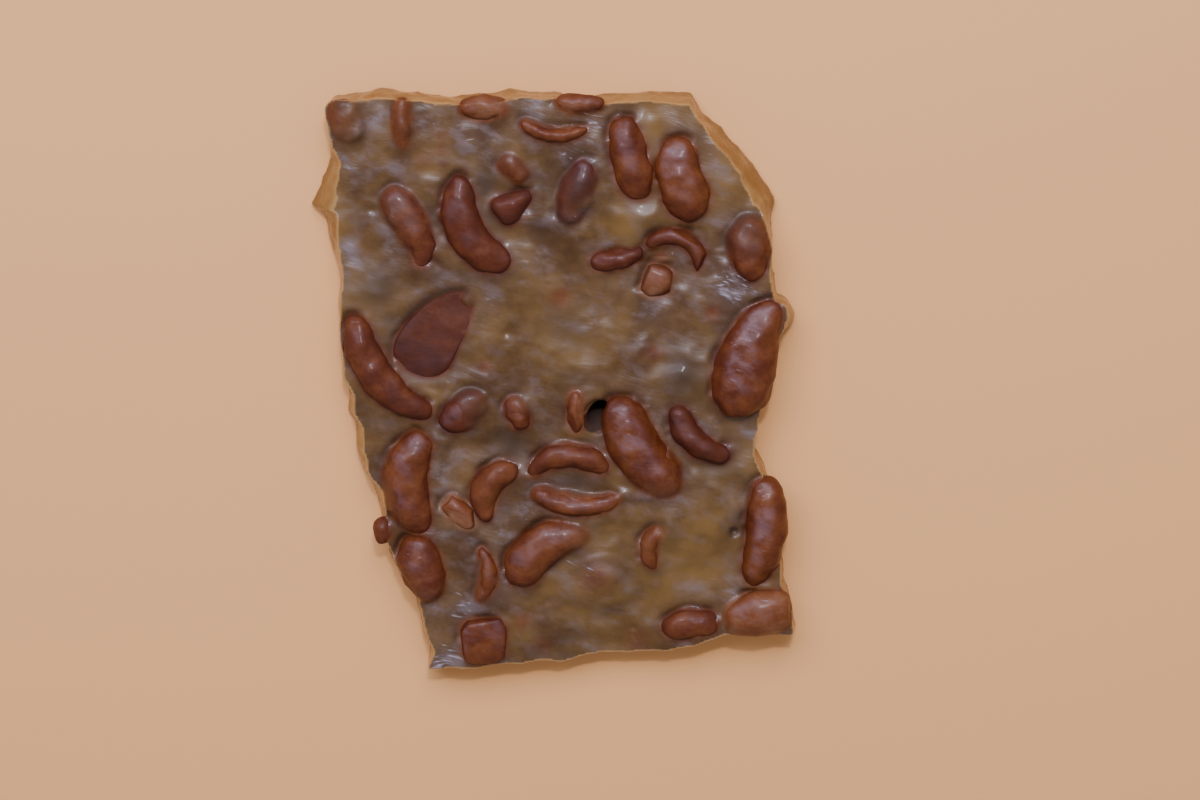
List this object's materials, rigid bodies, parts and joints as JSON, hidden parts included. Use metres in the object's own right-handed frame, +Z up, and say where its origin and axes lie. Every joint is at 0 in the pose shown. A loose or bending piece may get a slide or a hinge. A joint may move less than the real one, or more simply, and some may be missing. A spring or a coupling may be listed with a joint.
{
  "type": "nut brittle piece",
  "caption": "Broken slab of amber candy with roasted cashews set in it, some proud and some filmed over, with snapped sides, a flat underside and a small hole through it.",
  "frame": {"origin": "on the plane the slab lies on, under the middle of its bounding box", "axes": "+X across the slab's width, +Y along its length towards the side with the cut-off right corner, +Z up out of the nutty face"},
  "size_m": [0.0916, 0.1104, 0.0117],
  "materials": {
    "candy": "glassy golden caramel candy, cloudy with fine pulled streaks",
    "cashew": "roasted cashew under a thin shining film of candy"
  },
  "bodies": {
    "root": {"candy": "candy", "cashew_upper_corner": "cashew", "cashew_upper_sliver": "cashew", "cashew_upper_orange": "cashew", "cashew_upper_edge": "cashew", "cashew_thin_smile": "cashew", "cashew_half_sunk": "cashew", "cashew_pair_left": "cashew", "cashew_pair_right": "cashew", "cashew_filmed_left": "cashew", "cashew_hook": "cashew", "cashew_arrowhead": "cashew", "cashew_sunk_middle": "cashew", "cashew_bird_wing": "cashew", "cashew_bird_peak": "cashew", "cashew_tan_chip": "cashew", "cashew_right_filmed": "cashew", "cashew_crescent": "cashew", "cashew_flat_half": "cashew", "cashew_right_drop": "cashew", "cashew_small_left": "cashew", "cashew_bit": "cashew", "cashew_orange_stick": "cashew", "cashew_broad": "cashew", "cashew_wrapped": "cashew", "cashew_kidney": "cashew", "cashew_cap": "cashew", "cashew_light_piece": "cashew", "cashew_gable": "cashew", "cashew_smile": "cashew", "cashew_small_edge": "cashew", "cashew_right_long": "cashew", "cashew_lower_left": "cashew", "cashew_bracket": "cashew", "cashew_mitten": "cashew", "cashew_comma": "cashew", "cashew_cut_half": "cashew", "cashew_lower_edge": "cashew", "cashew_lower_corner": "cashew"}
  },
  "joints": []
}
